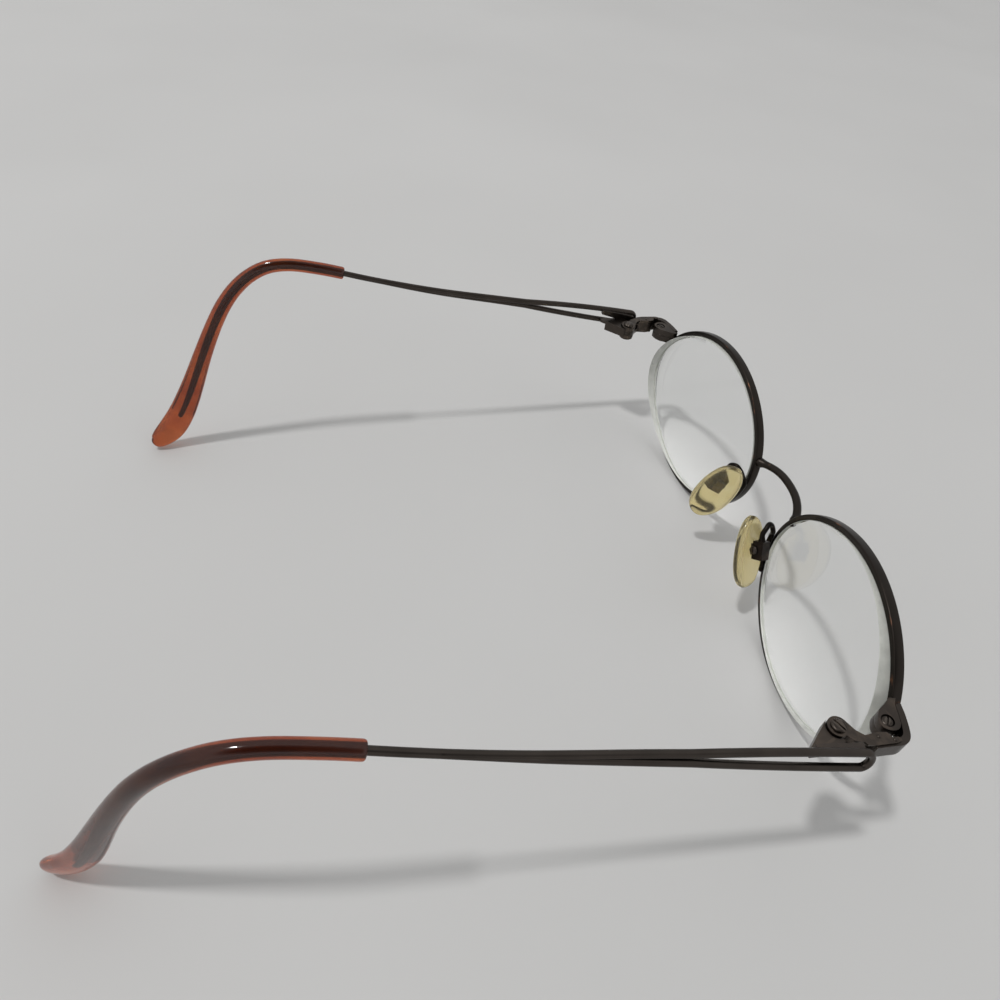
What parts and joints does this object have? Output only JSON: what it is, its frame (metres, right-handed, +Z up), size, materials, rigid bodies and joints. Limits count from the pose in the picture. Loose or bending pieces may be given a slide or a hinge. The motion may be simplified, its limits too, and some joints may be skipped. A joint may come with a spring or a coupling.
{
  "type": "eyeglasses",
  "caption": "Round full-rim wire eyeglasses with doubled-wire temples, plastic ear sleeves, adjustable nose pads and folding screw hinges.",
  "frame": {"origin": "centre of the bounding box at its base, on the surface the open glasses stand on", "axes": "+X to the wearer's left, +Y back along the temples (the lenses face -Y), +Z up"},
  "size_m": [0.1206, 0.1388, 0.0457],
  "materials": {
    "bronze": "dark antique bronze plating, semi-gloss, lighter where it is worn",
    "steel": "small dulled screws and inserts",
    "lens": "clear lens with a frosted grey edge",
    "ear_sleeve": "translucent amber tortoise brown, polished",
    "pad_plastic": "yellowed translucent, polished"
  },
  "bodies": {
    "front": {"rim_left": "bronze", "rim_right": "bronze", "lens_left": "lens", "lens_right": "lens", "bridge": "bronze", "endpiece_left": "bronze", "endpiece_right": "bronze", "lock_block_upper_left": "bronze", "lock_block_upper_right": "bronze", "lock_block_lower_left": "bronze", "lock_block_lower_right": "bronze", "lock_screw_left": "steel", "lock_screw_right": "steel", "hinge_front_left": "bronze", "hinge_front_right": "bronze", "hinge_screw_left": "steel", "hinge_screw_right": "steel", "pad_box_left": "bronze", "pad_screw_left": "steel", "pad_arm_left": "bronze", "pad_box_right": "bronze", "pad_screw_right": "steel", "pad_arm_right": "bronze"},
    "temple_left": {"temple_wire_left": "bronze", "hinge_temple_left": "bronze", "temple_tip_left": "ear_sleeve"},
    "temple_right": {"temple_wire_right": "bronze", "hinge_temple_right": "bronze", "temple_tip_right": "ear_sleeve"},
    "pad_left": {"nose_pad_left": "pad_plastic", "pad_insert_left": "steel"},
    "pad_right": {"nose_pad_right": "pad_plastic", "pad_insert_right": "steel"}
  },
  "joints": [
    {"name": "temple_fold_left", "type": "hinge", "parent": "front", "child": "temple_left", "pos_m": [0.0544, -0.04866, 0.02734], "axis": [0, 0, 1], "range_deg": [0, 88.6]},
    {"name": "temple_fold_right", "type": "hinge", "parent": "front", "child": "temple_right", "pos_m": [-0.0544, -0.04866, 0.02734], "axis": [0, 0, -1], "range_deg": [0, 84.9]},
    {"name": "pad_rock_left", "type": "hinge", "parent": "front", "child": "pad_left", "pos_m": [0.00987, -0.05894, 0.01674], "axis": [0.3246, 0.8918, 0.3152], "range_deg": [-12, 0]},
    {"name": "pad_rock_right", "type": "hinge", "parent": "front", "child": "pad_right", "pos_m": [-0.01012, -0.0596, 0.01682], "axis": [-0.3251, 0.8931, 0.311], "range_deg": [-12, 0]}
  ]
}
